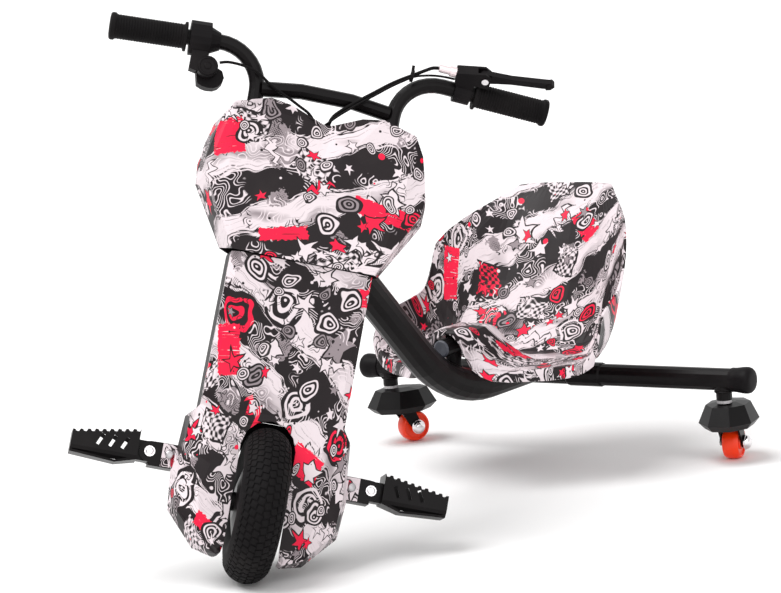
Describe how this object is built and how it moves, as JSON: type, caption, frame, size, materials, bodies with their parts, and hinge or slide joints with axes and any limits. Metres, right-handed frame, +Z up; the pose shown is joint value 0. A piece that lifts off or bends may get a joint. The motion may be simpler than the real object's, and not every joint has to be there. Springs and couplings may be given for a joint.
{
  "type": "drift trike",
  "caption": "Seated drift trike with a powered, steered front wheel under printed covers, a handlebar, folding foot pegs, a bucket seat and a rear axle on swivel casters.",
  "frame": {"origin": "on the floor, under the middle of the whole trike as seen from above", "axes": "+Z up, -Y forwards (the way the frame points), +X to the left of the rider"},
  "size_m": [0.734, 1.0576, 0.7814],
  "materials": {
    "frame_black": "satin",
    "plastic_black": "satin",
    "rubber_black": "matt",
    "tyre_black": "matt",
    "printed_plastic": "satin print of black, pinkish white and red",
    "caster_orange": "satin",
    "zinc": "satin",
    "chrome": "polished",
    "battery_wrap": "satin",
    "controller_case": "satin",
    "plug_grey": "satin"
  },
  "bodies": {
    "frame": {"main_tube": "frame_black", "head_tube": "frame_black", "headset_upper": "zinc", "headset_lower": "zinc", "rear_axle_tube": "frame_black", "axle_end_cap_left": "plastic_black", "axle_end_cap_right": "plastic_black", "caster_socket_left": "frame_black", "caster_socket_right": "frame_black", "seat_rail": "frame_black", "seat_rail_plug": "plug_grey"},
    "seat": {"seat_shell": "printed_plastic", "seat_bracket": "frame_black", "seat_clamp_bolt": "zinc"},
    "front": {"fork": "frame_black", "upper_yoke": "frame_black", "handlebar": "frame_black", "grip_left": "rubber_black", "grip_right": "rubber_black", "throttle_housing": "plastic_black", "brake_bracket": "plastic_black", "brake_pivot_pin": "chrome", "brake_adjuster": "chrome", "brake_cable": "rubber_black", "brake_switch_wire": "rubber_black", "throttle_lead": "rubber_black", "cable_tie": "plastic_black", "upper_shield": "printed_plastic", "front_panel": "printed_plastic", "back_cover": "plastic_black", "battery": "battery_wrap", "controller": "controller_case", "wheel_axle": "zinc", "axle_nut_left": "zinc", "axle_nut_right": "zinc", "peg_bracket_left": "frame_black", "peg_bracket_right": "frame_black", "peg_bolt_left": "chrome", "peg_bolt_right": "chrome"},
    "wheel": {"tyre": "tyre_black", "hub_motor": "frame_black"},
    "brake_lever": {"brake_lever": "plastic_black"},
    "throttle_lever": {"throttle_lever": "plastic_black"},
    "peg_left": {"peg_left": "frame_black"},
    "peg_right": {"peg_right": "frame_black"},
    "power_button": {"power_button": "caster_orange"},
    "charge_cap": {"charge_cap": "rubber_black"},
    "caster_left": {"caster_fork_left": "frame_black", "caster_shroud_left": "plastic_black", "caster_bearing_left": "zinc", "caster_axle_left": "zinc", "caster_nut_left": "chrome"},
    "caster_wheel_left": {"caster_wheel_left": "caster_orange"},
    "caster_right": {"caster_fork_right": "frame_black", "caster_shroud_right": "plastic_black", "caster_bearing_right": "zinc", "caster_axle_right": "zinc", "caster_nut_right": "chrome"},
    "caster_wheel_right": {"caster_wheel_right": "caster_orange"}
  },
  "joints": [
    {"name": "steering", "type": "hinge", "parent": "frame", "child": "front", "pos_m": [0, -0.19027, 0.48169], "axis": [0, 0.4067, 0.9135], "range_deg": [-93.5, 6.5]},
    {"name": "front_wheel_spin", "type": "hinge", "parent": "front", "child": "wheel", "pos_m": [0.02753, -0.38976, 0.10496], "axis": [0.7254, 0.6288, -0.28], "continuous": true},
    {"name": "brake_lever_squeeze", "type": "hinge", "parent": "front", "child": "brake_lever", "pos_m": [0.19897, -0.00439, 0.64676], "axis": [-0.3948, 0.7133, 0.5791], "range_deg": [0, 15], "stiffness_Nm_per_rad": 2, "springref_deg": -2.86},
    {"name": "throttle_press", "type": "hinge", "parent": "front", "child": "throttle_lever", "pos_m": [-0.111, -0.24376, 0.6883], "axis": [-0.6884, 0.6627, -0.295], "range_deg": [0, 35], "stiffness_Nm_per_rad": 0.2, "springref_deg": -5.73},
    {"name": "peg_fold_left", "type": "hinge", "parent": "front", "child": "peg_left", "pos_m": [0.11243, -0.24532, 0.09571], "axis": [0.6884, -0.6627, 0.295], "range_deg": [0, 85]},
    {"name": "peg_fold_right", "type": "hinge", "parent": "front", "child": "peg_right", "pos_m": [-0.11243, -0.44027, 0.1825], "axis": [-0.6884, 0.6627, -0.295], "range_deg": [0, 85]},
    {"name": "caster_swivel_left", "type": "hinge", "parent": "frame", "child": "caster_left", "pos_m": [0.315, 0.42962, 0.07992], "axis": [0, 0, 1], "continuous": true},
    {"name": "caster_swivel_right", "type": "hinge", "parent": "frame", "child": "caster_right", "pos_m": [-0.315, 0.42962, 0.07992], "axis": [0, 0, 1], "continuous": true},
    {"name": "caster_spin_left", "type": "hinge", "parent": "caster_left", "child": "caster_wheel_left", "pos_m": [0.30813, 0.46496, 0.02592], "axis": [0.9816, 0.1908, 0], "continuous": true},
    {"name": "caster_spin_right", "type": "hinge", "parent": "caster_right", "child": "caster_wheel_right", "pos_m": [-0.297, 0.4608, 0.02592], "axis": [0.866, -0.5, 0], "continuous": true},
    {"name": "seat_slide", "type": "slide", "parent": "frame", "child": "seat", "axis": [0, 1, 0], "range_m": [-0.02, 0.03]},
    {"name": "power_button_press", "type": "slide", "parent": "front", "child": "power_button", "axis": [0.6884, -0.6627, 0.295], "range_m": [0, 0.002], "stiffness_N_per_m": 600, "springref_m": -0.001},
    {"name": "charge_cap_flap", "type": "hinge", "parent": "front", "child": "charge_cap", "pos_m": [-0.01434, -0.24776, 0.53684], "axis": [0.7254, 0.6288, -0.28], "range_deg": [0, 100]}
  ]
}
